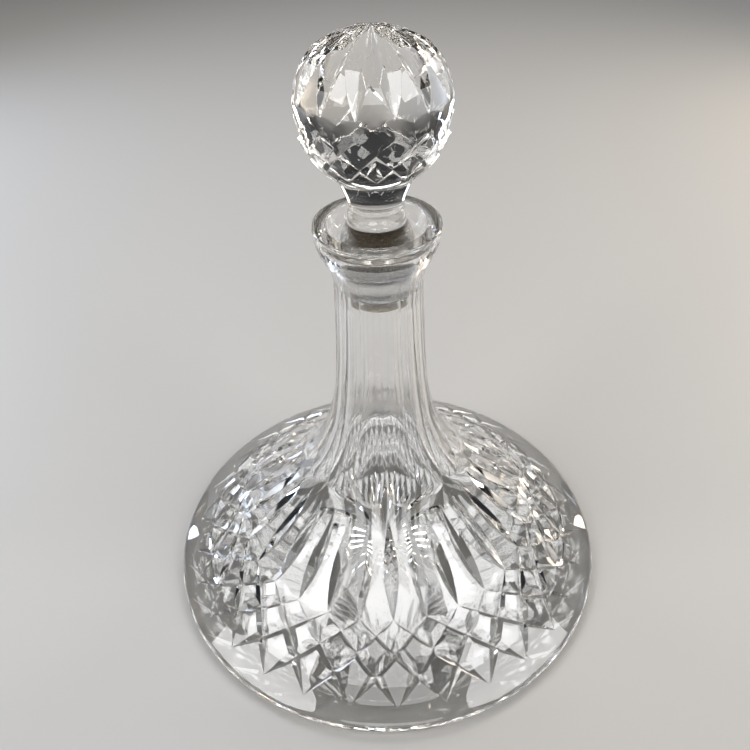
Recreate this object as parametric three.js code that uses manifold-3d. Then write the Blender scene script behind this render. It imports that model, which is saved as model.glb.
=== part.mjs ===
// A squat cut-crystal wine decanter with a ball stopper, in millimetres.
// +Z is up. The origin is the middle of the flat underside, so the decanter stands on z = 0.
// It is two pieces of glass: the hollow vessel, and the stopper, whose ground plug sits in the neck.
import * as THREE from "three";
import { mergeVertices } from "three/addons/utils/BufferGeometryUtils.js";
import Module from "manifold-3d";

const wasm = await Module();
wasm.setup();
const radians = THREE.MathUtils.degToRad;

// Vessel, outside. The wall is a cone that sweeps up into a long neck with a flared lip.
const FOOT_RADIUS = 100;
const FOOT_EDGE_ROUND = 3;
const FOOT_ROUND_TOP = 59;
const LIP_RADIUS = 23.4;
const LIP_HEIGHT = 174.9;
const LIP_ROUND = 0.8;
const NECK_TOP_RADIUS = 17.3;
const NECK_TOP_HEIGHT = 149;
const FLARE_FOOT_PULL = 12;
const FLARE_LIP_PULL = 12.2;
const FLARE_LIP_LEAN = 0.6;
const SHOULDER_POINTS = [
  [98.55, 5.57],
  [91.5, 9.9],
  [84.5, 15],
  [73, 23.8],
  [59.3, 34.9],
  [45.3, 47.8],
  [36.1, 58.7],
  [26.9, 73.6],
  [21.2, 91],
  [18.4, 116],
  [NECK_TOP_RADIUS, NECK_TOP_HEIGHT],
];

// Vessel, inside.
const BASE_THICKNESS = 7;
const CHAMBER_RADIUS = 84.4;
const CHAMBER_FLOOR_ROUND = 3;
const MOUTH_RADIUS = 18.6;
const MOUTH_ROUND = 1;
const SOCKET_FIT_GAP = 0.3;
const SOCKET_TOP_HEIGHT = 167;
const CHAMBER_POINTS = [
  [CHAMBER_RADIUS, 8.4],
  [73, 17],
  [59.3, 28.6],
  [45.3, 41.4],
  [33.5, 53],
  [22.5, 71],
  [16.8, 91],
  [13.8, 116],
];

// Stopper. The plug tapers from its shoulder down to its end.
const PLUG_END_HEIGHT = 144.5;
const PLUG_END_RADIUS = 11.9;
const PLUG_END_CHAMFER = 1;
const PLUG_SHOULDER_HEIGHT = 167.8;
const PLUG_SHOULDER_RADIUS = 13.6;
const BALL_RADIUS = 26.2;
const BALL_HEIGHT = 215.6;
const WAIST_POINTS = [
  [PLUG_SHOULDER_RADIUS, PLUG_SHOULDER_HEIGHT],
  [12.6, 171.8],
  [10.7, 176],
  [10.2, 179.5],
  [9.8, 182],
  [10.7, 186.2],
  [13.4, 192.4],
];

// Cuts in the vessel.
const FLUTE_COUNT = 14;
const FLUTE_WHEEL_RADIUS = 60;
const FLUTE_WHEEL_REACH = 6;
const FLUTE_TURN = 13.7;
const FLUTE_SECTION_TURNS = [-11, -5.5, 0, 5.5, 11];
const FLUTE_POINTS = [
  [22, 164.6],
  [19.4, 162.2],
  [17.5, 159],
  [16.9, 155.5],
  [16.7, 149],
  [17.75, 116],
  [20.4, 91],
  [25.7, 73.8],
  [32, 63.6],
  [35.2, 60.3],
  [38.6, 58.2],
];
const WALL_CUT_COUNT = 30;
const WALL_CUT_TURN = 1.7;
const LANCET_TOP_RADIUS = 37;
const LANCET_FOOT_RADIUS = 67;
const LANCET_DEPTH = 2;
const DIAMOND_FOOT_RADIUS = 94;
const DIAMOND_MIDDLE_RADIUS = 77.2;
const DIAMOND_DEPTH = 1.7;
const STAR_COUNT = 24;
const STAR_INNER_RADIUS = 8;
const STAR_OUTER_RADIUS = 40;
const STAR_DEPTH = 1.7;

// Cuts in the ball, at latitudes in degrees.
const BALL_CUT_COUNT = 14;
const BALL_CUT_TURN = 0.9;
const BALL_LANCET_TOP = 90;
const BALL_LANCET_MIDDLE = 48;
const BALL_LANCET_FOOT = 9.7;
const BALL_LANCET_TOP_DEPTH = 1;
const BALL_LANCET_DEPTH = 3;
const BALL_DIAMOND_TOP = 6;
const BALL_DIAMOND_MIDDLE = -14;
const BALL_DIAMOND_FOOT = -39.6;
const BALL_DIAMOND_DEPTH = 1.1;

// The mitre wheel that makes every V-shaped cut.
const MITRE_HALF_ANGLE = THREE.MathUtils.degToRad(57.5);
const MITRE_REACH = 5;
const CUT_OVERRUN = 1.12;
const CUT_STEPS = 2;
const FLUTE_STEPS = 11;

// How finely the round shapes are divided.
const VESSEL_SEGMENTS = 44;
const STOPPER_SEGMENTS = 28;
const SHOULDER_STEPS = 11;
const CHAMBER_STEPS = 8;
const WAIST_STEPS = 8;
const BALL_STEPS = 10;
const FOOT_STEPS = 3;
const FLARE_STEPS = 6;
const LIP_STEPS = 2;
const WELD_DISTANCE = 1e-4;

// The clear glass of both pieces.
const GLASS_ROUGHNESS = 0.05;
const VESSEL_GLASS_COLOUR = 0xe9ecee;
const STOPPER_GLASS_COLOUR = 0xf2f5f7;

// A curve through [radius, height] pairs, as Vector2 points.
function outline(pairs, steps) {
  const curve = new THREE.SplineCurve(pairs.map(([r, z]) => new THREE.Vector2(r, z)));
  return curve.getPoints(steps);
}

// An arc about a centre, from one angle to another in degrees, as Vector2 points.
function roundOf(centre, radius, from, to, steps) {
  const arc = new THREE.EllipseCurve(...centre, radius, radius, radians(from), radians(to), to < from);
  return arc.getPoints(steps);
}

// Turns a [radius, height] profile about Z. LatheGeometry turns about Y, so the result is stood up.
function turned(profile, segments) {
  const lathe = new THREE.LatheGeometry(profile, segments);
  lathe.rotateX(Math.PI / 2);
  return lathe;
}

// A closed geometry as a solid for joining and cutting.
function solid(geometry) {
  const bare = geometry.clone();
  bare.deleteAttribute("normal");
  bare.deleteAttribute("uv");
  const merged = mergeVertices(bare, WELD_DISTANCE);
  const mesh = new wasm.Mesh({
    numProp: 3,
    vertProperties: merged.attributes.position.array,
    triVerts: new Uint32Array(merged.index.array),
  });
  return new wasm.Manifold(mesh);
}

// A solid as a three.js geometry.
function geometryOf(body) {
  const mesh = body.getMesh();
  const geometry = new THREE.BufferGeometry();
  geometry.setAttribute("position", new THREE.Float32BufferAttribute(mesh.vertProperties, 3));
  geometry.setIndex(new THREE.Uint32BufferAttribute(mesh.triVerts, 1));
  const faceted = geometry.toNonIndexed();
  faceted.computeVertexNormals();
  return faceted;
}

function cutAll(body, cutters) {
  return cutters.reduce((left, cutter) => left.subtract(cutter), body);
}

// A cutter of the given section, swept along a path that bends in one plane.
// The section's +X side is turned to face along outward, a direction in that plane.
function sweptCutter(section, path, outward, steps) {
  const frames = path.computeFrenetFrames(steps, false);
  const turn = Math.atan2(outward.dot(frames.binormals[0]), outward.dot(frames.normals[0]));
  const middle = new THREE.Vector2(0, 0);
  const shape = new THREE.Shape(section.map((point) => point.clone().rotateAround(middle, turn)));
  return solid(new THREE.ExtrudeGeometry(shape, { steps, extrudePath: path, bevelEnabled: false }));
}

const shoulder = outline(SHOULDER_POINTS, SHOULDER_STEPS);

// The vessel's outer surface at a radius: its height and its outward direction in the [r, z] plane.
function shoulderAt(radius) {
  const next = shoulder.findIndex((point) => point.x < radius);
  const above = shoulder[next];
  const below = shoulder[next - 1];
  const share = (radius - below.x) / (above.x - below.x);
  const height = below.y + share * (above.y - below.y);
  const outward = new THREE.Vector2(above.y - below.y, below.x - above.x).normalize();
  return { height, outward };
}

// A point at a radius and a height, turned in degrees from -Y towards +X.
function around(radius, degrees, height) {
  const turn = radians(degrees);
  return new THREE.Vector3(radius * Math.sin(turn), -radius * Math.cos(turn), height);
}

function onShoulder(radius, degrees, depth) {
  const { height, outward } = shoulderAt(radius);
  return around(radius - depth * outward.x, degrees, height - depth * outward.y);
}

function onBall(latitude, degrees, depth) {
  const reach = BALL_RADIUS - depth;
  const height = BALL_HEIGHT + reach * Math.sin(radians(latitude));
  return around(reach * Math.cos(radians(latitude)), degrees, height);
}

// A V-shaped cut from its start through its deepest point to its end, running on past both ends.
// Its path is a parabola through the three points, and outward points out of the glass.
function mitreCut(start, middle, end, outward) {
  const halfLength = end.clone().sub(start).multiplyScalar(0.5);
  const rise = start.clone().add(end).multiplyScalar(0.5).sub(middle);
  const along = (t) => middle.clone().addScaledVector(halfLength, t).addScaledVector(rise, t * t);
  const control = middle.clone().addScaledVector(rise, -CUT_OVERRUN * CUT_OVERRUN);
  const path = new THREE.QuadraticBezierCurve3(along(-CUT_OVERRUN), control, along(CUT_OVERRUN));
  const halfWidth = MITRE_REACH * Math.tan(MITRE_HALF_ANGLE);
  const section = [
    new THREE.Vector2(0, 0),
    new THREE.Vector2(MITRE_REACH, -halfWidth),
    new THREE.Vector2(MITRE_REACH, halfWidth),
  ];
  return sweptCutter(section, path, outward, CUT_STEPS);
}

// The two families of slanting cuts whose crossings leave the diamonds, one pair from each top corner.
function diamondCuts(count, firstTurn, cut) {
  const pitch = 360 / count;
  const cutters = [];
  for (let corner = 0; corner < count; corner += 1) {
    const turn = firstTurn + corner * pitch;
    cutters.push(cut(turn, pitch), cut(turn, -pitch));
  }
  return cutters;
}

// One cut at each of count even turns.
function ringOf(count, firstTurn, cut) {
  return Array.from({ length: count }, (_, place) => cut(firstTurn + (place * 360) / count));
}

function vesselBlank() {
  const footCentre = [FOOT_RADIUS - FOOT_EDGE_ROUND, FOOT_EDGE_ROUND];
  const lipCentre = [LIP_RADIUS - LIP_ROUND, LIP_HEIGHT - LIP_ROUND];
  const neckTop = new THREE.Vector2(NECK_TOP_RADIUS, NECK_TOP_HEIGHT);
  const lipBelow = new THREE.Vector2(LIP_RADIUS, LIP_HEIGHT - LIP_ROUND);
  const flareBelow = new THREE.Vector2(neckTop.x, neckTop.y + FLARE_FOOT_PULL);
  const flareAbove = new THREE.Vector2(lipBelow.x - FLARE_LIP_LEAN, lipBelow.y - FLARE_LIP_PULL);
  const flare = new THREE.CubicBezierCurve(neckTop, flareBelow, flareAbove, lipBelow);
  const profile = [
    new THREE.Vector2(0, 0),
    ...roundOf(footCentre, FOOT_EDGE_ROUND, -90, 0, FOOT_STEPS),
    ...roundOf(footCentre, FOOT_EDGE_ROUND, 0, FOOT_ROUND_TOP, FOOT_STEPS).slice(1, -1),
    shoulder[0],
    ...shoulder.slice(1),
    ...flare.getPoints(FLARE_STEPS).slice(1),
    ...roundOf(lipCentre, LIP_ROUND, 0, 90, LIP_STEPS).slice(1),
    new THREE.Vector2(MOUTH_RADIUS, LIP_HEIGHT),
    new THREE.Vector2(MOUTH_RADIUS - MOUTH_ROUND, LIP_HEIGHT - MOUTH_ROUND),
    new THREE.Vector2(plugRadiusAt(SOCKET_TOP_HEIGHT) + SOCKET_FIT_GAP, SOCKET_TOP_HEIGHT),
    new THREE.Vector2(plugRadiusAt(PLUG_END_HEIGHT) + SOCKET_FIT_GAP, PLUG_END_HEIGHT),
    ...outline(CHAMBER_POINTS, CHAMBER_STEPS).reverse(),
    new THREE.Vector2(CHAMBER_RADIUS - CHAMBER_FLOOR_ROUND, BASE_THICKNESS),
    new THREE.Vector2(0, BASE_THICKNESS),
  ];
  return solid(turned(profile, VESSEL_SEGMENTS));
}

function plugRadiusAt(height) {
  const share = (height - PLUG_END_HEIGHT) / (PLUG_SHOULDER_HEIGHT - PLUG_END_HEIGHT);
  return PLUG_END_RADIUS + share * (PLUG_SHOULDER_RADIUS - PLUG_END_RADIUS);
}

// A long panel of the neck, all but flat across, that follows the neck down on to the shoulder.
function neckFlute(degrees) {
  const path = new THREE.CatmullRomCurve3(FLUTE_POINTS.map(([r, z]) => around(r, degrees, z)));
  const section = FLUTE_SECTION_TURNS.map((turn) => {
    const side = FLUTE_WHEEL_RADIUS * Math.sin(radians(turn));
    const rise = FLUTE_WHEEL_RADIUS * (1 - Math.cos(radians(turn)));
    return new THREE.Vector2(rise, side);
  });
  const halfWidth = section.at(-1).y;
  section.push(new THREE.Vector2(FLUTE_WHEEL_REACH, halfWidth));
  section.push(new THREE.Vector2(FLUTE_WHEEL_REACH, -halfWidth));
  return sweptCutter(section, path, around(1, degrees, 0), FLUTE_STEPS);
}

function wallLancet(degrees) {
  const middleRadius = (LANCET_TOP_RADIUS + LANCET_FOOT_RADIUS) / 2;
  const { outward } = shoulderAt(middleRadius);
  return mitreCut(
    onShoulder(LANCET_TOP_RADIUS, degrees, 0),
    onShoulder(middleRadius, degrees, LANCET_DEPTH),
    onShoulder(LANCET_FOOT_RADIUS, degrees, 0),
    around(outward.x, degrees, outward.y),
  );
}

function wallDiamondCut(degrees, pitch) {
  const { outward } = shoulderAt(DIAMOND_MIDDLE_RADIUS);
  return mitreCut(
    onShoulder(LANCET_FOOT_RADIUS, degrees, 0),
    onShoulder(DIAMOND_MIDDLE_RADIUS, degrees + pitch, DIAMOND_DEPTH),
    onShoulder(DIAMOND_FOOT_RADIUS, degrees + 2 * pitch, 0),
    around(outward.x, degrees + pitch, outward.y),
  );
}

function starRay(degrees) {
  return mitreCut(
    around(STAR_INNER_RADIUS, degrees, 0),
    around((STAR_INNER_RADIUS + STAR_OUTER_RADIUS) / 2, degrees, STAR_DEPTH),
    around(STAR_OUTER_RADIUS, degrees, 0),
    new THREE.Vector3(0, 0, -1),
  );
}

function vessel() {
  return cutAll(vesselBlank(), [
    ...ringOf(FLUTE_COUNT, FLUTE_TURN, neckFlute),
    ...ringOf(WALL_CUT_COUNT, WALL_CUT_TURN, wallLancet),
    ...diamondCuts(WALL_CUT_COUNT, WALL_CUT_TURN, wallDiamondCut),
    ...ringOf(STAR_COUNT, 0, starRay),
  ]);
}

function stopperBlank() {
  const waist = outline(WAIST_POINTS, WAIST_STEPS);
  const ballBottom = -THREE.MathUtils.radToDeg(Math.acos(WAIST_POINTS.at(-1)[0] / BALL_RADIUS));
  const chamferTop = PLUG_END_HEIGHT + PLUG_END_CHAMFER;
  const profile = [
    new THREE.Vector2(0, PLUG_END_HEIGHT),
    new THREE.Vector2(PLUG_END_RADIUS - PLUG_END_CHAMFER, PLUG_END_HEIGHT),
    new THREE.Vector2(plugRadiusAt(chamferTop), chamferTop),
    ...waist,
    ...roundOf([0, BALL_HEIGHT], BALL_RADIUS, ballBottom, 90, BALL_STEPS).slice(1),
  ];
  profile.at(-1).x = 0;
  return solid(turned(profile, STOPPER_SEGMENTS));
}

function ballLancet(degrees) {
  return mitreCut(
    onBall(BALL_LANCET_TOP, degrees, BALL_LANCET_TOP_DEPTH),
    onBall(BALL_LANCET_MIDDLE, degrees, BALL_LANCET_DEPTH),
    onBall(BALL_LANCET_FOOT, degrees, 0),
    around(Math.cos(radians(BALL_LANCET_MIDDLE)), degrees, Math.sin(radians(BALL_LANCET_MIDDLE))),
  );
}

function ballDiamondCut(degrees, pitch) {
  const middle = radians(BALL_DIAMOND_MIDDLE);
  return mitreCut(
    onBall(BALL_DIAMOND_TOP, degrees, 0),
    onBall(BALL_DIAMOND_MIDDLE, degrees + pitch, BALL_DIAMOND_DEPTH),
    onBall(BALL_DIAMOND_FOOT, degrees + 2 * pitch, 0),
    around(Math.cos(middle), degrees + pitch, Math.sin(middle)),
  );
}

function stopper() {
  const halfPitch = 180 / BALL_CUT_COUNT;
  return cutAll(stopperBlank(), [
    ...ringOf(BALL_CUT_COUNT, BALL_CUT_TURN + halfPitch, ballLancet),
    ...diamondCuts(BALL_CUT_COUNT, BALL_CUT_TURN, ballDiamondCut),
  ]);
}

function glassPiece(name, body, colour) {
  const finish = { color: colour, roughness: GLASS_ROUGHNESS, metalness: 0 };
  const material = new THREE.MeshStandardMaterial(finish);
  const mesh = new THREE.Mesh(geometryOf(body), material);
  mesh.name = name;
  return mesh;
}

const decanter = new THREE.Group();
decanter.add(glassPiece("crystal_vessel", vessel(), VESSEL_GLASS_COLOUR));
decanter.add(glassPiece("ball_stopper", stopper(), STOPPER_GLASS_COLOUR));

export default decanter;
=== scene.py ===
"""The looks of a squat cut-crystal wine decanter with a ball stopper.

The decanter is two pieces of lead crystal. Each is turned from its outline, cut with mitre and fluting
wheels, and dressed with its finishes. Sizes are in millimetres until they reach Blender, in metres.
"""

import logging
import math
from dataclasses import dataclass, field
from enum import Enum

import bpy
from mathutils import Matrix, Vector


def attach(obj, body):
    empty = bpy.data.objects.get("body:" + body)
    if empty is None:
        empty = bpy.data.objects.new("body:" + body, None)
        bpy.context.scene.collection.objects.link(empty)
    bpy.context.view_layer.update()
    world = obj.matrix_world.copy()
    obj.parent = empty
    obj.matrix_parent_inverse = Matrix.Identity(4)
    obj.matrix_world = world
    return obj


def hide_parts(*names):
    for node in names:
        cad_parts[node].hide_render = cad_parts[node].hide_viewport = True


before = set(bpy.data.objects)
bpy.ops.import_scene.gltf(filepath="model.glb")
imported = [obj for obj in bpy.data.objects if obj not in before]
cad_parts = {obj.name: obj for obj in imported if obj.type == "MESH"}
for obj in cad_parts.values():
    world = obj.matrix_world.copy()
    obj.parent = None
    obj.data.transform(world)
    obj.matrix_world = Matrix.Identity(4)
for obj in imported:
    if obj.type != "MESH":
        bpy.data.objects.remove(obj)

log = logging.getLogger("decanter")

MM = 0.001
UP = Vector((0.0, 0.0, 1.0))
MERGE_MM = 0.002
SMOOTH_DEGREES = 14.0
GROUND_SLOT = 1
LEAD_CRYSTAL_IOR = 1.55

Outline = list[tuple[float, float]]


class Lean(Enum):
    """Which way a slanting cut leans as it goes down the glass."""

    LEFT = -1
    RIGHT = 1


class Family(Enum):
    """The names of the record's material slots for the two pieces."""

    VESSEL = "vessel_glass"
    STOPPER = "stopper_glass"


# ---------------------------------------------------------------- outlines


def smooth_outline(knots: Outline, steps: int) -> Outline:
    """Joins knots with a Catmull-Rom curve.

    Args:
        knots: the radius and height of each point that the curve goes through.
        steps: how many stretches each span is divided into.

    Returns:
        The curve's points, from the first knot to the last.
    """
    points: Outline = []
    last = len(knots) - 1
    for span in range(last):
        before, start = knots[max(span - 1, 0)], knots[span]
        end, after = knots[span + 1], knots[min(span + 2, last)]
        for step in range(steps):
            points.append(catmull_rom(before, start, end, after, step / steps))
    return points + [knots[-1]]


def catmull_rom(
    before: tuple[float, float],
    start: tuple[float, float],
    end: tuple[float, float],
    after: tuple[float, float],
    share: float,
) -> tuple[float, float]:
    """Finds a point on one span of a Catmull-Rom curve.

    Args:
        before: the knot before the span.
        start: the span's first knot.
        end: the span's last knot.
        after: the knot after the span.
        share: how far along the span the point is, from 0 to 1.

    Returns:
        The point's radius and height.
    """
    place = []
    for p0, p1, p2, p3 in zip(before, start, end, after):
        pull_in, pull_out = (p2 - p0) / 2, (p3 - p1) / 2
        cubic = (2 * p1 - 2 * p2 + pull_in + pull_out) * share**3
        square = (-3 * p1 + 3 * p2 - 2 * pull_in - pull_out) * share**2
        place.append(cubic + square + pull_in * share + p1)
    return place[0], place[1]


def bezier_outline(
    start: tuple[float, float],
    pull: tuple[float, float],
    push: tuple[float, float],
    end: tuple[float, float],
    steps: int,
) -> Outline:
    """Draws a cubic Bezier curve between two points.

    Args:
        start: the first point.
        pull: the handle that belongs to the first point.
        push: the handle that belongs to the last point.
        end: the last point.
        steps: how many stretches the curve is divided into.

    Returns:
        The curve's points, both ends included.
    """
    points: Outline = []
    for step in range(steps + 1):
        t = step / steps
        weights = ((1 - t) ** 3, 3 * t * (1 - t) ** 2, 3 * t * t * (1 - t), t**3)
        radius = sum(w * p[0] for w, p in zip(weights, (start, pull, push, end)))
        height = sum(w * p[1] for w, p in zip(weights, (start, pull, push, end)))
        points.append((radius, height))
    return points


def round_outline(
    centre: tuple[float, float], radius: float, first: float, last: float, steps: int
) -> Outline:
    """Draws an arc of a circle.

    Args:
        centre: the circle's centre.
        radius: its radius.
        first: the angle of the first point in degrees, 0 pointing away from the axis and 90 up.
        last: the angle of the last point.
        steps: how many stretches the arc is divided into.

    Returns:
        The arc's points, both ends included.
    """
    points: Outline = []
    for step in range(steps + 1):
        angle = math.radians(first + (last - first) * step / steps)
        points.append((centre[0] + radius * math.cos(angle), centre[1] + radius * math.sin(angle)))
    return points


def around(radius: float, turn: float, height: float) -> Vector:
    """Places a point at a radius and height, turned in degrees from the front towards +X."""
    angle = math.radians(turn)
    return Vector((radius * math.sin(angle), -radius * math.cos(angle), height))


def around_front(point: tuple[float, float]) -> Vector:
    """Places an outline's point at the front."""
    return around(point[0], 0.0, point[1])


# ---------------------------------------------------------------- modelling


def deselect_all() -> None:
    """Leaves nothing selected, in object mode."""
    if bpy.context.mode != "OBJECT":
        bpy.ops.object.mode_set(mode="OBJECT")
    bpy.ops.object.select_all(action="DESELECT")


def select_only(piece: bpy.types.Object) -> None:
    """Makes one object the selected and active one."""
    deselect_all()
    piece.select_set(True)
    bpy.context.view_layer.objects.active = piece


def draw_chain(name: str, points: list[Vector]) -> bpy.types.Object:
    """Draws a chain of edges by extruding one point from place to place.

    Args:
        name: the new object's name.
        points: the places, in millimetres.

    Returns:
        The object, left in edit mode with the whole chain selected.
    """
    deselect_all()
    bpy.ops.mesh.primitive_plane_add(size=MM)
    chain = bpy.context.object
    chain.name = name
    bpy.ops.object.mode_set(mode="EDIT")
    bpy.ops.mesh.select_all(action="SELECT")
    bpy.ops.mesh.merge(type="CENTER")
    bpy.ops.transform.translate(value=points[0] * MM)
    for place, following in zip(points, points[1:]):
        step = (following - place) * MM
        bpy.ops.mesh.extrude_region_move(TRANSFORM_OT_translate={"value": step})
    bpy.ops.mesh.select_all(action="SELECT")
    return chain


def spin_selected(steps: int, degrees: float, centre: Vector, axis: Vector) -> None:
    """Sweeps the selection about an axis by the right-hand rule.

    Args:
        steps: how many stretches the sweep is divided into.
        degrees: how far to turn.
        centre: a point on the axis, in millimetres.
        axis: the axis's direction.
    """
    turn = -math.radians(degrees)  # with no window the tool turns the other way
    bpy.ops.mesh.spin(steps=steps, angle=turn, center=centre * MM, axis=axis)


def close_mesh() -> None:
    """Merges the doubles of the mesh in edit mode, points its faces outwards and leaves edit mode."""
    bpy.ops.mesh.select_all(action="SELECT")
    bpy.ops.mesh.remove_doubles(threshold=MERGE_MM * MM)
    bpy.ops.mesh.normals_make_consistent(inside=False)
    bpy.ops.object.mode_set(mode="OBJECT")


def turn_on_lathe(name: str, outline: Outline, segments: int) -> bpy.types.Object:
    """Turns an outline about the decanter's axis.

    Args:
        name: the new object's name.
        outline: the radius and height of each point, from the axis back to the axis.
        segments: how many segments the round is divided into.

    Returns:
        The closed piece, in object mode.
    """
    piece = draw_chain(name, [around(radius, 0.0, height) for radius, height in outline])
    spin_selected(segments, 360.0, Vector(), UP)
    close_mesh()
    return piece


def turned_copies(piece: bpy.types.Object, count: int, first_turn: float) -> list[bpy.types.Object]:
    """Copies an object round the decanter's axis and puts the object itself in the first place.

    Args:
        piece: the object, made at turn 0.
        count: how many places there are in a full turn.
        first_turn: the first place's turn, in degrees.

    Returns:
        All the objects, the first one included, each with its own mesh.
    """
    ring = [piece]
    for _ in range(count - 1):
        copy = piece.copy()
        copy.data = piece.data.copy()
        bpy.context.scene.collection.objects.link(copy)
        ring.append(copy)
    for place, each in enumerate(ring):
        turn = math.radians(first_turn + place * 360.0 / count)
        each.data.transform(Matrix.Rotation(turn, 4, "Z"))
    return ring


def polish(piece: bpy.types.Object, name: str) -> None:
    """Smooths a cut piece's faces but not its edges, by the angle and the size of its faces.

    Args:
        piece: the piece, with all its cuts made.
        name: its final name.
    """
    select_only(piece)
    bpy.ops.object.shade_smooth_by_angle(angle=math.radians(SMOOTH_DEGREES))
    bpy.ops.object.modifier_add(type="WEIGHTED_NORMAL")
    evening = piece.modifiers[-1]
    evening.keep_sharp = True
    bpy.ops.object.modifier_apply(modifier=evening.name)
    piece.name = name


def cut_away(blank: bpy.types.Object, cutters: list[bpy.types.Object]) -> None:
    """Cuts the shapes of the cutters out of a piece, then clears the cutters away.

    Args:
        blank: the piece to cut.
        cutters: the closed shapes that the wheels grind away.
    """
    tray = bpy.data.collections.new("cutters")
    bpy.context.scene.collection.children.link(tray)
    for cutter in cutters:
        for holder in cutter.users_collection:
            holder.objects.unlink(cutter)
        tray.objects.link(cutter)
    select_only(blank)
    bpy.ops.object.modifier_add(type="BOOLEAN")
    cut = blank.modifiers[-1]
    cut.operation = "DIFFERENCE"
    cut.solver = "MANIFOLD"
    cut.operand_type = "COLLECTION"
    cut.collection = tray
    bpy.ops.object.modifier_apply(modifier=cut.name)
    for cutter in cutters:
        mesh = cutter.data
        bpy.data.objects.remove(cutter)
        bpy.data.meshes.remove(mesh)
    bpy.data.collections.remove(tray)


# ---------------------------------------------------------------- wheels


@dataclass(frozen=True)
class MitreWheel:
    """The V-edged wheel that makes the lancets, the diamonds and the star.

    Attributes:
        edge_angle: the full angle of its V edge, in degrees.
        reach: how far the cutter stands out of the glass.
        overrun: how far it goes on past each end of a cut, as a share of the cut's turn.
        steps: how many stretches its sweep is divided into.
    """

    edge_angle: float = 115.0
    reach: float = 6.0
    overrun: float = 0.07
    steps: int = 24

    def cutter(self, start: Vector, middle: Vector, end: Vector, outward: Vector) -> bpy.types.Object:
        """Sweeps the V along the arc through three points.

        Args:
            start: where the cut begins, at the surface.
            middle: the deepest point of the cut.
            end: where the cut ends, at the surface.
            outward: a direction out of the glass at the middle.

        Returns:
            The closed shape that the wheel grinds away.
        """
        axis = (middle - start).cross(end - middle).normalized()
        centre, radius = self.arc_centre(start, middle, end, axis)
        spoke = (middle - centre).normalized()
        out = 1.0 if spoke.dot(outward) > 0 else -1.0
        whole = 2 * math.asin(min((end - start).length / (2 * radius), 1.0))
        extra = whole * self.overrun
        first = Matrix.Rotation(-extra, 3, axis) @ (start - centre)
        top = first.normalized() * (out * self.reach)
        side = axis * self.reach * math.tan(math.radians(self.edge_angle / 2))
        section = [centre + first, centre + first + top + side, centre + first + top - side]
        shape = draw_chain("mitre cut", section)
        bpy.ops.mesh.edge_face_add()
        spin_selected(self.steps, math.degrees(whole + 2 * extra), centre, axis)
        close_mesh()
        return shape

    @staticmethod
    def arc_centre(start: Vector, middle: Vector, end: Vector, axis: Vector) -> tuple[Vector, float]:
        """Finds the circle through three points.

        Args:
            start: the first point.
            middle: the second point.
            end: the third point.
            axis: the unit normal of their plane; not used.

        Returns:
            The circle's centre and radius.
        """
        chord, rise = end - start, middle - start
        across = chord.cross(rise)
        toward = across.cross(chord) * rise.length_squared + rise.cross(across) * chord.length_squared
        centre = start + toward / (2 * across.length_squared)
        return centre, (start - centre).length


@dataclass(frozen=True)
class FlutingWheel:
    """The broad wheel, all but flat across, that cuts the long panels of the neck.

    Attributes:
        edge_radius: the radius that its edge is dressed to.
        half_width: half the width of its edge.
        reach: how far the cutter stands out of the glass.
        points: how many stretches its edge is divided into.
    """

    edge_radius: float = 60.0
    half_width: float = 11.5
    reach: float = 6.0
    points: int = 16

    def cutter(self, path: Outline) -> bpy.types.Object:
        """Draws the wheel's edge along a path at turn 0.

        Args:
            path: the radius and height of the panel's middle line, from its lower end to its upper end.

        Returns:
            The closed shape that the wheel grinds away.
        """
        shape = draw_chain("panel cut", self.section(path))
        bpy.ops.mesh.edge_face_add()
        for station in range(1, len(path)):
            here, before = around_front(path[station]), around_front(path[station - 1])
            bpy.ops.mesh.extrude_region_move(TRANSFORM_OT_translate={"value": (here - before) * MM})
            turn = self.lean_at(path, station) - self.lean_at(path, station - 1)
            bpy.ops.transform.rotate(
                value=-turn, orient_axis="X", orient_type="GLOBAL", center_override=here * MM
            )
        close_mesh()
        return shape

    def section(self, path: Outline) -> list[Vector]:
        """Draws the wheel's edge and the block behind it at the lower end of a path."""
        lean = self.lean_at(path, 0)
        outward = Vector((0.0, -math.cos(lean), -math.sin(lean)))
        places = [self.half_width * (2 * step / self.points - 1) for step in range(self.points + 1)]
        rises = [self.edge_radius - math.sqrt(self.edge_radius**2 - side**2) for side in places]
        places += [self.half_width, -self.half_width]
        rises += [self.reach, self.reach]
        foot = around_front(path[0])
        return [foot + outward * rise + Vector((side, 0.0, 0.0)) for side, rise in zip(places, rises)]

    @staticmethod
    def lean_at(path: Outline, station: int) -> float:
        """Finds how far the path leans out of the vertical at a station, in radians."""
        below, above = path[max(station - 1, 0)], path[min(station + 1, len(path) - 1)]
        return math.atan2(above[0] - below[0], above[1] - below[1])


# ---------------------------------------------------------------- finishes


def linear_colour(hex_colour: str) -> tuple[float, float, float, float]:
    """Turns an sRGB hex colour to a linear one with full alpha."""
    channels = [int(hex_colour[place : place + 2], 16) / 255 for place in (1, 3, 5)]
    red, green, blue = [c / 12.92 if c <= 0.04045 else ((c + 0.055) / 1.055) ** 2.4 for c in channels]
    return red, green, blue, 1.0


def add_node(
    tree: bpy.types.NodeTree,
    kind: str,
    settings: dict[str, object] | None = None,
    links: dict[str, bpy.types.NodeSocket] | None = None,
) -> bpy.types.Node:
    """Adds a node to a tree.

    Args:
        tree: the node tree.
        kind: the node's type, without its ShaderNode prefix.
        settings: values by name, for the node's own properties and for its inputs.
        links: sockets to link, by the name of the input that each one feeds.

    Returns:
        The new node.
    """
    node = tree.nodes.new(f"ShaderNode{kind}")
    for name, value in (settings or {}).items():
        if name in node.inputs:
            node.inputs[name].default_value = value
        else:
            setattr(node, name, value)
    for name, socket in (links or {}).items():
        tree.links.new(socket, node.inputs[name])
    return node


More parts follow.
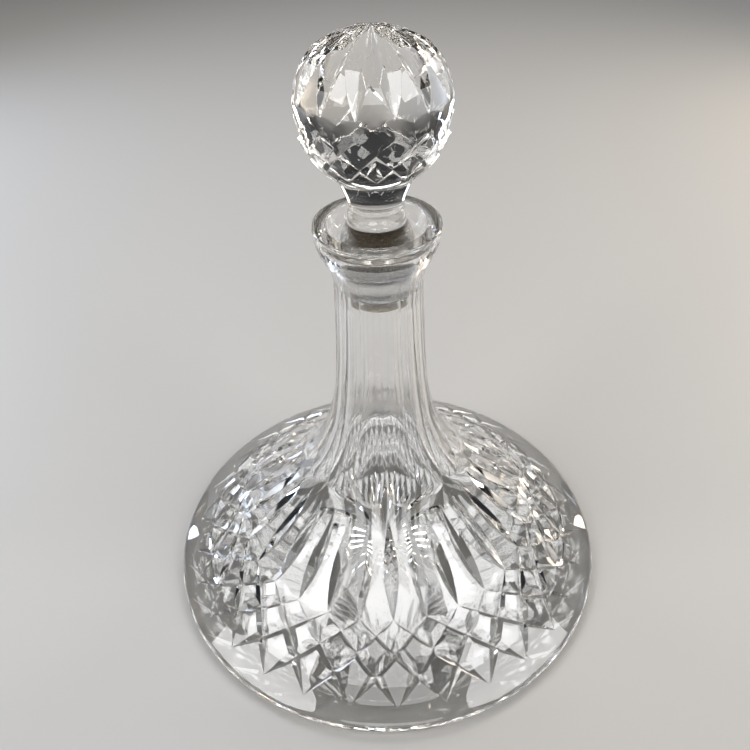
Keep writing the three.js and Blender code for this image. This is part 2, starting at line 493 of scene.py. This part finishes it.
@dataclass(frozen=True)
class PolishedCrystal:
    """Lead crystal, blown, wheel-cut and acid-polished.

    The eye sees clear, heavy glass with bright, sharply bent reflections, the faint ripple that acid
    polishing leaves, and a soft haze where the polish is uneven.

    Attributes:
        name: the material's name.
        tint: what thick glass lets through.
        thickness_for_tint: how deep the glass is where it has the full tint.
        ripple_size: the width of the polishing ripple.
        ripple_height: its height.
        ripple_detail: how many finer ripples lie on it.
        ripple_roughness: how strong those are.
        haze_from: the ripple levels between which the haze builds up.
        most_haze: the roughness where the polish is least even.
        edge_round: how far the acid rounds the edge of each cut.
        edge_samples: how many directions the rounding is measured in.
    """

    name: str = "polished lead crystal"
    tint: str = "#F7F6F4"
    thickness_for_tint: float = 40.0
    ripple_size: float = 7.0
    ripple_height: float = 0.006
    ripple_detail: float = 2.0
    ripple_roughness: float = 0.4
    haze_from: tuple[float, float] = (0.35, 0.8)
    most_haze: float = 0.03
    edge_round: float = 0.2
    edge_samples: int = 4

    def material(self) -> bpy.types.Material:
        """Makes the material."""
        material = bpy.data.materials.new(self.name)
        material.use_nodes = True
        tree = material.node_tree
        tree.nodes.clear()
        place = add_node(tree, "TexCoord").outputs["Object"]
        ripple = add_node(
            tree,
            "TexNoise",
            {
                "Scale": 1 / (self.ripple_size * MM),
                "Detail": self.ripple_detail,
                "Roughness": self.ripple_roughness,
            },
            {"Vector": place},
        )
        edges = add_node(tree, "Bevel", {"Radius": self.edge_round * MM, "samples": self.edge_samples})
        bump = add_node(
            tree,
            "Bump",
            {"Strength": 1.0, "Distance": self.ripple_height * MM},
            {"Height": ripple.outputs["Fac"], "Normal": edges.outputs["Normal"]},
        )
        haze = add_node(
            tree,
            "MapRange",
            {
                "From Min": self.haze_from[0],
                "From Max": self.haze_from[1],
                "To Min": 0.0,
                "To Max": self.most_haze,
            },
            {"Value": ripple.outputs["Fac"]},
        )
        glass = add_node(
            tree,
            "BsdfPrincipled",
            {
                "Base Color": (1.0, 1.0, 1.0, 1.0),
                "IOR": LEAD_CRYSTAL_IOR,
                "Transmission Weight": 1.0,
            },
            {"Roughness": haze.outputs["Result"], "Normal": bump.outputs["Normal"]},
        )
        depth = add_node(
            tree,
            "VolumeAbsorption",
            {"Color": linear_colour(self.tint), "Density": 1 / (self.thickness_for_tint * MM)},
        )
        add_node(
            tree,
            "OutputMaterial",
            links={"Surface": glass.outputs["BSDF"], "Volume": depth.outputs["Volume"]},
        )
        return material


@dataclass(frozen=True)
class GroundCrystal:
    """Crystal ground with fine grit, as on a stopper's plug and the socket that it fits.

    The eye sees a soft, satin grey that lets light through and hides what is behind it.

    Attributes:
        name: the material's name.
        colour: the colour of the ground face.
        grit_size: the width of the grinding marks, drawn coarse enough to show.
        grit_detail: how many finer marks lie on them.
        grit_from: the grit levels between which the roughness builds up.
        roughness: the least and the most roughness.
        mark_strength: how strongly the marks bend the light.
        mark_height: their height.
    """

    name: str = "satin ground crystal"
    colour: str = "#F6F7F7"
    grit_size: float = 0.35
    grit_detail: float = 3.0
    grit_from: tuple[float, float] = (0.3, 0.7)
    roughness: tuple[float, float] = (0.2, 0.32)
    mark_strength: float = 0.3
    mark_height: float = 0.01

    def material(self) -> bpy.types.Material:
        """Makes the material."""
        material = bpy.data.materials.new(self.name)
        material.use_nodes = True
        tree = material.node_tree
        tree.nodes.clear()
        place = add_node(tree, "TexCoord").outputs["Object"]
        grit = add_node(
            tree,
            "TexNoise",
            {"Scale": 1 / (self.grit_size * MM), "Detail": self.grit_detail},
            {"Vector": place},
        )
        rough = add_node(
            tree,
            "MapRange",
            {
                "From Min": self.grit_from[0],
                "From Max": self.grit_from[1],
                "To Min": self.roughness[0],
                "To Max": self.roughness[1],
            },
            {"Value": grit.outputs["Fac"]},
        )
        bump = add_node(
            tree,
            "Bump",
            {"Strength": self.mark_strength, "Distance": self.mark_height * MM},
            {"Height": grit.outputs["Fac"]},
        )
        glass = add_node(
            tree,
            "BsdfPrincipled",
            {
                "Base Color": linear_colour(self.colour),
                "IOR": LEAD_CRYSTAL_IOR,
                "Transmission Weight": 1.0,
            },
            {"Roughness": rough.outputs["Result"], "Normal": bump.outputs["Normal"]},
        )
        add_node(tree, "OutputMaterial", links={"Surface": glass.outputs["BSDF"]})
        return material


@dataclass(frozen=True)
class Plug:
    """The tapered plug of the stopper, and the socket in the neck that it fits.

    Attributes:
        end_height: the height of the plug's lower end at rest.
        end_radius: its radius there.
        shoulder_height: the height where the plug is widest.
        shoulder_radius: its radius there.
        fit_gap: the gap all round between the plug and the socket.
        socket_top: the height where the socket opens out to the mouth.
        ground_bottom: the height where the ground band of the plug and the socket begins.
        ground_top: the height where it ends.
    """

    end_height: float = 144.5
    end_radius: float = 11.9
    shoulder_height: float = 167.8
    shoulder_radius: float = 13.6
    fit_gap: float = 0.3
    socket_top: float = 167.0
    ground_bottom: float = 149.5
    ground_top: float = 165.5

    def radius_at(self, height: float) -> float:
        """Finds the plug's radius at a height."""
        share = (height - self.end_height) / (self.shoulder_height - self.end_height)
        return self.end_radius + share * (self.shoulder_radius - self.end_radius)

    def band(self, gap: float) -> Outline:
        """Lists the two edges of the ground band, the upper one first, at a gap from the plug's side."""
        return [(self.radius_at(height) + gap, height) for height in (self.ground_top, self.ground_bottom)]


# ---------------------------------------------------------------- the vessel


@dataclass
class Vessel:
    """The hollow vessel: a cone that sweeps up into a fluted neck with a flared lip.

    Attributes:
        plug: the stopper's plug, which the socket fits.
        wheel: the mitre wheel for the lancets, the diamonds and the star.
        flute_wheel: the wheel for the neck's panels.
        node: the CAD node that it stands for.
        body: the body that it rides on.
        foot_radius: the radius of the foot.
        foot_round: the rounding of the foot's edge.
        foot_round_top: the angle where that rounding ends, in degrees.
        foot_steps: how many stretches its lower and upper parts are divided into.
        lip_radius: the radius of the lip.
        lip_height: the height of the lip's top.
        lip_round: the rounding of its outer edge.
        lip_steps: how many stretches that is divided into.
        neck_radius: the radius where the flare begins.
        neck_height: the height there.
        flare_neck_pull: how far the flare keeps to the neck's line.
        flare_lip_pull: how far it keeps to the lip's line.
        flare_lip_lean: how far that line leans in.
        flare_steps: how many stretches the flare is divided into.
        mouth_radius: the radius of the lip's inner edge.
        mouth_points: the inner edge's rounding, as distances in from it and down from the lip.
        funnel_start: where the funnel to the socket begins, measured in the same way.
        funnel_pull: the handle of its upper end, measured in the same way.
        funnel_push: the handle of its lower end, out from the socket and up from it.
        funnel_steps: how many stretches it is divided into.
        base_thickness: the thickness of the glass under the chamber.
        chamber_radius: the chamber's largest radius.
        floor_round: how far in the chamber's floor begins.
        floor_lift: a point of that rounding, in from the chamber's wall and up from its floor.
        shoulder_knots: the outer surface from the foot to the neck.
        shoulder_steps: how many stretches each of its spans is divided into.
        chamber_knots: the chamber's surface from the floor to the socket.
        chamber_steps: how many stretches each of its spans is divided into.
        socket_margin: how far outside the plug's widest part a socket face may lie.
        segments: how many segments the round is divided into.
        flute_count: how many panels the neck has.
        flute_turn: the first panel's turn, in degrees.
        flute_knots: the middle line of a panel, from its lower end.
        flute_steps: how many stretches each of its spans is divided into.
        wall_cut_count: how many lancets, and how many diamond cuts each way, the shoulder has.
        wall_cut_turn: the first one's turn, in degrees.
        lancet_top: the radius of a lancet's upper end.
        lancet_foot: the radius of its lower end.
        lancet_depth: its greatest depth.
        diamond_middle: the radius of a diamond cut's middle.
        diamond_foot: the radius of its lower end.
        diamond_depth: its greatest depth.
        star_count: how many rays the star has.
        star_inner: the radius where they begin.
        star_outer: the radius where they end.
        star_depth: their greatest depth.
    """

    plug: Plug
    wheel: MitreWheel = field(default_factory=MitreWheel)
    flute_wheel: FlutingWheel = field(default_factory=FlutingWheel)
    node: str = "crystal_vessel"
    body: str = "vessel"

    foot_radius: float = 100.0
    foot_round: float = 3.0
    foot_round_top: float = 59.0
    foot_steps: tuple[int, int] = (8, 6)
    lip_radius: float = 23.4
    lip_height: float = 174.9
    lip_round: float = 0.8
    lip_steps: int = 6
    neck_radius: float = 17.3
    neck_height: float = 149.0
    flare_neck_pull: float = 12.0
    flare_lip_pull: float = 13.0
    flare_lip_lean: float = 0.6
    flare_steps: int = 24
    mouth_radius: float = 18.6
    mouth_points: tuple[tuple[float, float], ...] = ((0.0, 0.0), (0.5, 0.3), (0.9, 1.0))
    funnel_start: tuple[float, float] = (1.1, 1.6)
    funnel_pull: tuple[float, float] = (2.6, 5.0)
    funnel_push: tuple[float, float] = (0.4, 2.0)
    funnel_steps: int = 10
    base_thickness: float = 7.0
    chamber_radius: float = 84.4
    floor_round: float = 3.0
    floor_lift: tuple[float, float] = (0.6, 0.4)
    shoulder_knots: tuple[tuple[float, float], ...] = (
        (98.55, 5.57),
        (91.5, 9.9),
        (84.5, 15.0),
        (73.0, 23.8),
        (59.3, 34.9),
        (45.3, 47.8),
        (36.1, 58.7),
        (26.9, 73.6),
        (21.2, 91.0),
        (18.4, 116.0),
        (17.3, 149.0),
    )
    shoulder_steps: int = 9
    chamber_knots: tuple[tuple[float, float], ...] = (
        (84.4, 8.4),
        (73.0, 17.0),
        (59.3, 28.6),
        (45.3, 41.4),
        (33.5, 53.0),
        (22.5, 71.0),
        (16.8, 91.0),
        (13.8, 116.0),
        (12.2, 144.5),
    )
    chamber_steps: int = 10
    socket_margin: float = 1.0
    segments: int = 420

    flute_count: int = 14
    flute_turn: float = 13.7
    flute_knots: tuple[tuple[float, float], ...] = (
        (38.6, 58.2),
        (35.2, 60.3),
        (32.0, 63.6),
        (25.7, 73.8),
        (20.4, 91.0),
        (17.75, 116.0),
        (16.7, 149.0),
        (16.9, 155.5),
        (17.5, 159.0),
        (19.4, 162.2),
        (22.0, 164.6),
    )
    flute_steps: int = 5

    wall_cut_count: int = 30
    wall_cut_turn: float = 1.7
    lancet_top: float = 37.0
    lancet_foot: float = 67.0
    lancet_depth: float = 2.0
    diamond_middle: float = 77.2
    diamond_foot: float = 94.0
    diamond_depth: float = 1.7

    star_count: int = 24
    star_inner: float = 8.0
    star_outer: float = 40.0
    star_depth: float = 1.7

    def build(self) -> bpy.types.Object:
        """Turns the vessel and cuts it.

        Returns:
            The finished mesh object, not yet dressed.
        """
        vessel = turn_on_lathe("crystal vessel", self.outline(), self.segments)
        cut_away(vessel, self.cutters())
        polish(vessel, "vessel_in_cut_crystal")
        return vessel

    def outline(self) -> Outline:
        """Draws the section of the glass, from the middle of the underside round to the chamber's floor."""
        foot_centre = (self.foot_radius - self.foot_round, self.foot_round)
        lip_centre = (self.lip_radius - self.lip_round, self.lip_height - self.lip_round)
        flare = bezier_outline(
            (self.neck_radius, self.neck_height),
            (self.neck_radius, self.neck_height + self.flare_neck_pull),
            (self.lip_radius - self.flare_lip_lean, self.lip_height - self.flare_lip_pull),
            (self.lip_radius, self.lip_height - self.lip_round),
            self.flare_steps,
        )
        socket_gap = self.plug.fit_gap
        socket_top = (self.plug.radius_at(self.plug.socket_top) + socket_gap, self.plug.socket_top)
        floor_edge = self.chamber_radius - self.floor_round
        chamber = smooth_outline(list(self.chamber_knots), self.chamber_steps)
        low_steps, high_steps = self.foot_steps
        return [
            (0.0, 0.0),
            (self.star_inner, 0.0),
            (self.star_outer, 0.0),
            *round_outline(foot_centre, self.foot_round, -90.0, 0.0, low_steps),
            *round_outline(foot_centre, self.foot_round, 0.0, self.foot_round_top, high_steps)[1:-1],
            *smooth_outline(list(self.shoulder_knots), self.shoulder_steps),
            *flare[1:],
            *round_outline(lip_centre, self.lip_round, 0.0, 90.0, self.lip_steps)[1:],
            *[self.in_mouth(point) for point in self.mouth_points],
            *bezier_outline(
                self.in_mouth(self.funnel_start),
                self.in_mouth(self.funnel_pull),
                (socket_top[0] + self.funnel_push[0], socket_top[1] + self.funnel_push[1]),
                socket_top,
                self.funnel_steps,
            ),
            *self.plug.band(socket_gap),
            *reversed(chamber),
            (self.chamber_radius - self.floor_lift[0], self.base_thickness + self.floor_lift[1]),
            (floor_edge, self.base_thickness),
            (floor_edge / 2, self.base_thickness),
            (0.0, self.base_thickness),
        ]

    def in_mouth(self, point: tuple[float, float]) -> tuple[float, float]:
        """Places a point given by its distances in from the mouth's edge and down from the lip."""
        return self.mouth_radius - point[0], self.lip_height - point[1]

    def shoulder_at(self, radius: float) -> tuple[float, Vector]:
        """Finds the outer surface at a radius on the cone or the sweep above it.

        Args:
            radius: the radius to look at.

        Returns:
            The surface's height, and its outward direction at turn 0.
        """
        surface = smooth_outline(list(self.shoulder_knots), self.shoulder_steps)
        above = next(place for place, point in enumerate(surface) if point[0] < radius)
        (low_r, low_z), (high_r, high_z) = surface[above - 1], surface[above]
        share = (radius - low_r) / (high_r - low_r)
        outward = around(high_z - low_z, 0.0, low_r - high_r).normalized()
        return low_z + share * (high_z - low_z), outward

    def on_shoulder(self, radius: float, turn: float, depth: float) -> Vector:
        """Places a point under the outer surface.

        Args:
            radius: the radius of the surface point above it.
            turn: its turn round the vessel, in degrees.
            depth: how far under the surface it lies.

        Returns:
            The point.
        """
        height, outward = self.shoulder_at(radius)
        sunk_radius = radius + depth * outward.y
        return around(sunk_radius, turn, height - depth * outward.z)

    def outward_at(self, radius: float, turn: float) -> Vector:
        """Finds the direction out of the glass at a radius and turn."""
        outward = self.shoulder_at(radius)[1]
        return around(-outward.y, turn, outward.z)

    def cutters(self) -> list[bpy.types.Object]:
        """Makes the shapes that all the wheels grind away."""
        flute = self.flute_wheel.cutter(smooth_outline(list(self.flute_knots), self.flute_steps))
        shapes = turned_copies(flute, self.flute_count, self.flute_turn)
        shapes += turned_copies(self.lancet(), self.wall_cut_count, self.wall_cut_turn)
        for lean in Lean:
            shapes += turned_copies(self.diamond_cut(lean), self.wall_cut_count, self.wall_cut_turn)
        shapes += turned_copies(self.star_ray(), self.star_count, 0.0)
        return shapes

    def lancet(self) -> bpy.types.Object:
        """Makes the cutter of one long pointed cut down the shoulder."""
        middle = (self.lancet_top + self.lancet_foot) / 2
        return self.wheel.cutter(
            self.on_shoulder(self.lancet_top, 0.0, 0.0),
            self.on_shoulder(middle, 0.0, self.lancet_depth),
            self.on_shoulder(self.lancet_foot, 0.0, 0.0),
            self.outward_at(middle, 0.0),
        )

    def diamond_cut(self, lean: Lean) -> bpy.types.Object:
        """Makes the cutter of one slanting cut from a lancet's foot to the lowest ring of points."""
        pitch = lean.value * 360.0 / self.wall_cut_count
        return self.wheel.cutter(
            self.on_shoulder(self.lancet_foot, 0.0, 0.0),
            self.on_shoulder(self.diamond_middle, pitch, self.diamond_depth),
            self.on_shoulder(self.diamond_foot, 2 * pitch, 0.0),
            self.outward_at(self.diamond_middle, pitch),
        )

    def star_ray(self) -> bpy.types.Object:
        """Makes the cutter of one ray of the star under the base."""
        middle = (self.star_inner + self.star_outer) / 2
        return self.wheel.cutter(
            around(self.star_inner, 0.0, 0.0),
            around(middle, 0.0, self.star_depth),
            around(self.star_outer, 0.0, 0.0),
            -UP,
        )

    def dress(
        self, vessel: bpy.types.Object, polished: bpy.types.Material, ground: bpy.types.Material
    ) -> None:
        """Gives the vessel its finishes and its place in the frame.

        Args:
            vessel: the finished mesh object.
            polished: the material of all but the socket.
            ground: the material of the socket.
        """
        vessel.data.materials.clear()
        vessel.data.materials.append(polished)
        vessel.data.materials.append(ground)
        for face in vessel.data.polygons:
            place = face.center / MM
            inside = math.hypot(place.x, place.y) < self.plug.shoulder_radius + self.socket_margin
            if inside and self.plug.ground_bottom < place.z < self.plug.ground_top:
                face.material_index = GROUND_SLOT
        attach(vessel, self.body)
        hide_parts(self.node)


# ---------------------------------------------------------------- the stopper


@dataclass
class Stopper:
    """The solid stopper: a cut ball on a waist, over a tapered ground plug.

    Attributes:
        plug: the stopper's plug.
        wheel: the mitre wheel that cuts the ball.
        node: the CAD node that it stands for.
        body: the body that it rides on.
        end_chamfer: the chamfer round the plug's end.
        ball_radius: the ball's radius.
        ball_height: the height of its centre.
        ball_steps: how many stretches its outline is divided into.
        waist_knots: the outline from the plug's shoulder to the ball.
        waist_steps: how many stretches each of its spans is divided into.
        segments: how many segments the round is divided into.
        cut_count: how many lancets, and how many diamond cuts each way, the ball has.
        cut_turn: the first diamond cut's turn, in degrees.
        lancet_top: the latitude of a lancet's upper end, in degrees.
        lancet_middle: the latitude of its middle.
        lancet_foot: the latitude of its lower end.
        lancet_top_depth: its depth at the upper end.
        lancet_depth: its depth at the middle.
        diamond_top: the latitude of a diamond cut's upper end.
        diamond_middle: the latitude of its middle.
        diamond_foot: the latitude of its lower end.
        diamond_depth: its greatest depth.
    """

    plug: Plug
    wheel: MitreWheel = field(default_factory=MitreWheel)
    node: str = "ball_stopper"
    body: str = "stopper"

    end_chamfer: float = 1.0
    ball_radius: float = 26.2
    ball_height: float = 215.6
    ball_steps: int = 72
    waist_knots: tuple[tuple[float, float], ...] = (
        (13.6, 167.8),
        (12.6, 171.8),
        (10.7, 176.0),
        (10.2, 179.5),
        (9.8, 182.0),
        (10.7, 186.2),
        (13.4, 192.4),
    )
    waist_steps: int = 8
    segments: int = 336

    cut_count: int = 14
    cut_turn: float = 0.9
    lancet_top: float = 90.0
    lancet_middle: float = 48.0
    lancet_foot: float = 9.7
    lancet_top_depth: float = 1.5
    lancet_depth: float = 3.0
    diamond_top: float = 6.0
    diamond_middle: float = -14.0
    diamond_foot: float = -39.6
    diamond_depth: float = 1.1

    def build(self) -> bpy.types.Object:
        """Turns the stopper and cuts its ball.

        Returns:
            The finished mesh object, not yet dressed.
        """
        stopper = turn_on_lathe("ball stopper", self.outline(), self.segments)
        cut_away(stopper, self.cutters())
        polish(stopper, "stopper_in_cut_crystal")
        return stopper

    def outline(self) -> Outline:
        """Draws half the stopper's section, from the middle of the plug's end up to the ball's top."""
        ball_bottom = -math.degrees(math.acos(self.waist_knots[-1][0] / self.ball_radius))
        centre = (0.0, self.ball_height)
        ball = round_outline(centre, self.ball_radius, ball_bottom, 90.0, self.ball_steps)
        chamfer_top = self.plug.end_height + self.end_chamfer
        return [
            (0.0, self.plug.end_height),
            (self.plug.end_radius - self.end_chamfer, self.plug.end_height),
            (self.plug.radius_at(chamfer_top), chamfer_top),
            *reversed(self.plug.band(0.0)),
            *smooth_outline(list(self.waist_knots), self.waist_steps),
            *ball[1:-1],
            (0.0, self.ball_height + self.ball_radius),
        ]

    def on_ball(self, latitude: float, turn: float, depth: float) -> Vector:
        """Places a point under the ball's surface, by its latitude and its turn in degrees."""
        reach = self.ball_radius - depth
        across = reach * math.cos(math.radians(latitude))
        return around(across, turn, self.ball_height + reach * math.sin(math.radians(latitude)))

    def outward_at(self, latitude: float, turn: float) -> Vector:
        """Finds the direction out of the ball at a latitude and turn."""
        angle = math.radians(latitude)
        return around(math.cos(angle), turn, math.sin(angle))

    def cutters(self) -> list[bpy.types.Object]:
        """Makes the shapes that the wheel grinds out of the ball."""
        half_pitch = 180.0 / self.cut_count
        shapes = turned_copies(self.lancet(), self.cut_count, self.cut_turn + half_pitch)
        for lean in Lean:
            shapes += turned_copies(self.diamond_cut(lean), self.cut_count, self.cut_turn)
        return shapes

    def lancet(self) -> bpy.types.Object:
        """Makes the cutter of one long pointed cut down from the ball's top."""
        return self.wheel.cutter(
            self.on_ball(self.lancet_top, 0.0, self.lancet_top_depth),
            self.on_ball(self.lancet_middle, 0.0, self.lancet_depth),
            self.on_ball(self.lancet_foot, 0.0, 0.0),
            self.outward_at(self.lancet_middle, 0.0),
        )

    def diamond_cut(self, lean: Lean) -> bpy.types.Object:
        """Makes the cutter of one slanting cut round the lower half of the ball."""
        pitch = lean.value * 360.0 / self.cut_count
        return self.wheel.cutter(
            self.on_ball(self.diamond_top, 0.0, 0.0),
            self.on_ball(self.diamond_middle, pitch, self.diamond_depth),
            self.on_ball(self.diamond_foot, 2 * pitch, 0.0),
            self.outward_at(self.diamond_middle, pitch),
        )

    def dress(
        self, stopper: bpy.types.Object, polished: bpy.types.Material, ground: bpy.types.Material
    ) -> None:
        """Gives the stopper its finishes and its place in the frame.

        Args:
            stopper: the finished mesh object.
            polished: the material of all but the plug.
            ground: the material of the plug's tapered side.
        """
        stopper.data.materials.clear()
        stopper.data.materials.append(polished)
        stopper.data.materials.append(ground)
        for face in stopper.data.polygons:
            height = face.center.z / MM
            if self.plug.ground_bottom < height < self.plug.ground_top:
                face.material_index = GROUND_SLOT
        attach(stopper, self.body)
        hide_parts(self.node)


# ---------------------------------------------------------------- the studio


@dataclass(frozen=True)
class Softbox:
    """A rectangular soft light that hangs facing the decanter.

    Attributes:
        name: the light's name.
        place: where its middle hangs.
        size: its width and height.
        watts: its power.
        colour: its colour, white or very nearly so.
    """

    name: str
    place: tuple[float, float, float]
    size: tuple[float, float]
    watts: float
    colour: str = "#FFFFFF"

    def hang(self, target: Vector) -> None:
        """Adds the light to the scene, turned to face a target point."""
        deselect_all()
        bpy.ops.object.light_add(type="AREA", location=Vector(self.place) * MM)
        lamp = bpy.context.object
        lamp.name = self.name
        lamp.data.shape = "RECTANGLE"
        lamp.data.size, lamp.data.size_y = self.size[0] * MM, self.size[1] * MM
        lamp.data.energy = self.watts
        lamp.data.color = linear_colour(self.colour)[:3]
        lamp.rotation_euler = (target - Vector(self.place)).to_track_quat("-Z", "Y").to_euler()


@dataclass
class Studio:
    """The pale floor, the soft lights and the camera.

    Attributes:
        eye_back: how far the camera stands in front of the decanter's axis.
        eye_height: its height over the floor.
        look_down: how far it looks down, in degrees.
        look_left: how far it is turned to the left of the axis, in degrees.
        tilt: how far it is rolled, in degrees.
        focal_share: the focal length as a share of the sensor's width.
        sensor_width: the sensor's width.
        near_clip: the nearest distance that the camera sees, in metres.
        floor_size: the floor's width.
        floor_drop: how far the floor lies under the foot.
        floor_colour: the floor's colour.
        floor_roughness: the floor's roughness.
        room_colour: the colour of the light that the dim room gives.
        softboxes: the lights.
        light_target: the point that they face.
        exposure: the picture's exposure, in stops.
        glass_bounces: how many times light may pass through glass.
        mirror_bounces: how many times it may be mirrored.
    """

    eye_back: float = 238.11
    eye_height: float = 302.21
    look_down: float = 39.72
    look_left: float = 0.63
    tilt: float = -2.13
    focal_share: float = 0.9964
    sensor_width: float = 36.0
    near_clip: float = 0.01
    floor_size: float = 6000.0
    floor_drop: float = 0.3
    floor_colour: str = "#9A9895"
    floor_roughness: float = 0.6
    room_colour: str = "#2A2B2E"
    softboxes: tuple[Softbox, ...] = (
        Softbox("left softbox", (-1000.0, -450.0, 950.0), (1000.0, 700.0), 20.0),
        Softbox("right softbox", (1000.0, -450.0, 950.0), (1000.0, 700.0), 18.0),
        Softbox("front softbox", (0.0, -1150.0, 950.0), (900.0, 500.0), 6.0),
        Softbox("back softbox", (0.0, 850.0, 1250.0), (1200.0, 500.0), 14.0),
        Softbox("left strip", (-700.0, 500.0, 350.0), (120.0, 500.0), 4.0, "#DCE9FF"),
        Softbox("right strip", (700.0, 500.0, 350.0), (120.0, 500.0), 4.0, "#FFF0DC"),
    )
    light_target: tuple[float, float, float] = (0.0, 0.0, 60.0)
    exposure: float = -0.2
    glass_bounces: int = 32
    mirror_bounces: int = 16

    def build(self) -> None:
        """Sets up the floor, the room, the lights and the camera."""
        self.floor()
        self.room()
        for softbox in self.softboxes:
            softbox.hang(Vector(self.light_target))
        self.camera()
        self.light_paths()

    def light_paths(self) -> None:
        """Lets light pass through enough facets for the cut glass to stay bright."""
        scene = bpy.context.scene
        scene.cycles.max_bounces = self.glass_bounces
        scene.cycles.transmission_bounces = self.glass_bounces
        scene.cycles.glossy_bounces = self.mirror_bounces
        scene.view_settings.view_transform = "Standard"
        scene.view_settings.exposure = self.exposure

    def floor(self) -> None:
        """Lays a plain pale floor just under the foot."""
        deselect_all()
        bpy.ops.mesh.primitive_plane_add(size=self.floor_size * MM, location=(0, 0, -self.floor_drop * MM))
        floor = bpy.context.object
        floor.name = "pale_floor"
        material = bpy.data.materials.new("pale floor paint")
        material.use_nodes = True
        shader = material.node_tree.nodes["Principled BSDF"]
        shader.inputs["Base Color"].default_value = linear_colour(self.floor_colour)
        shader.inputs["Roughness"].default_value = self.floor_roughness
        floor.data.materials.append(material)

    def room(self) -> None:
        """Fills the room round the table with an even, dim grey."""
        world = bpy.data.worlds.new("studio room")
        bpy.context.scene.world = world
        world.use_nodes = True
        background = world.node_tree.nodes["Background"]
        background.inputs["Color"].default_value = linear_colour(self.room_colour)
        background.inputs["Strength"].default_value = 1.0

    def camera(self) -> None:
        """Sets the camera up and makes it the scene's own."""
        deselect_all()
        bpy.ops.object.camera_add(location=Vector((0.0, -self.eye_back, self.eye_height)) * MM)
        eye = bpy.context.object
        eye.name = "camera"
        down, turn = math.radians(self.look_down), math.radians(-self.look_left)
        ahead = Vector(
            (math.sin(turn) * math.cos(down), math.cos(turn) * math.cos(down), -math.sin(down))
        )
        level = Vector((math.cos(turn), -math.sin(turn), 0.0))
        roll = Matrix.Rotation(-math.radians(self.tilt), 3, ahead)
        right = roll @ level
        up = right.cross(ahead)
        facing = Matrix((right, up, -ahead)).transposed()
        eye.rotation_euler = facing.to_euler()
        eye.data.sensor_width = self.sensor_width
        eye.data.lens = self.focal_share * self.sensor_width
        eye.data.clip_start = self.near_clip
        bpy.context.scene.camera = eye


# ---------------------------------------------------------------- making it all


def main() -> None:
    """Builds the decanter and the studio."""
    logging.basicConfig(level=logging.INFO, format="%(name)s: %(message)s")
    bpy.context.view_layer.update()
    Studio().build()
    polished = PolishedCrystal().material()
    ground = GroundCrystal().material()
    plug = Plug()
    for maker in (Vessel(plug), Stopper(plug)):
        piece = maker.build()
        maker.dress(piece, polished, ground)
        log.info("%s: %d faces", piece.name, len(piece.data.polygons))
    deselect_all()


if __name__ == "__main__":
    main()
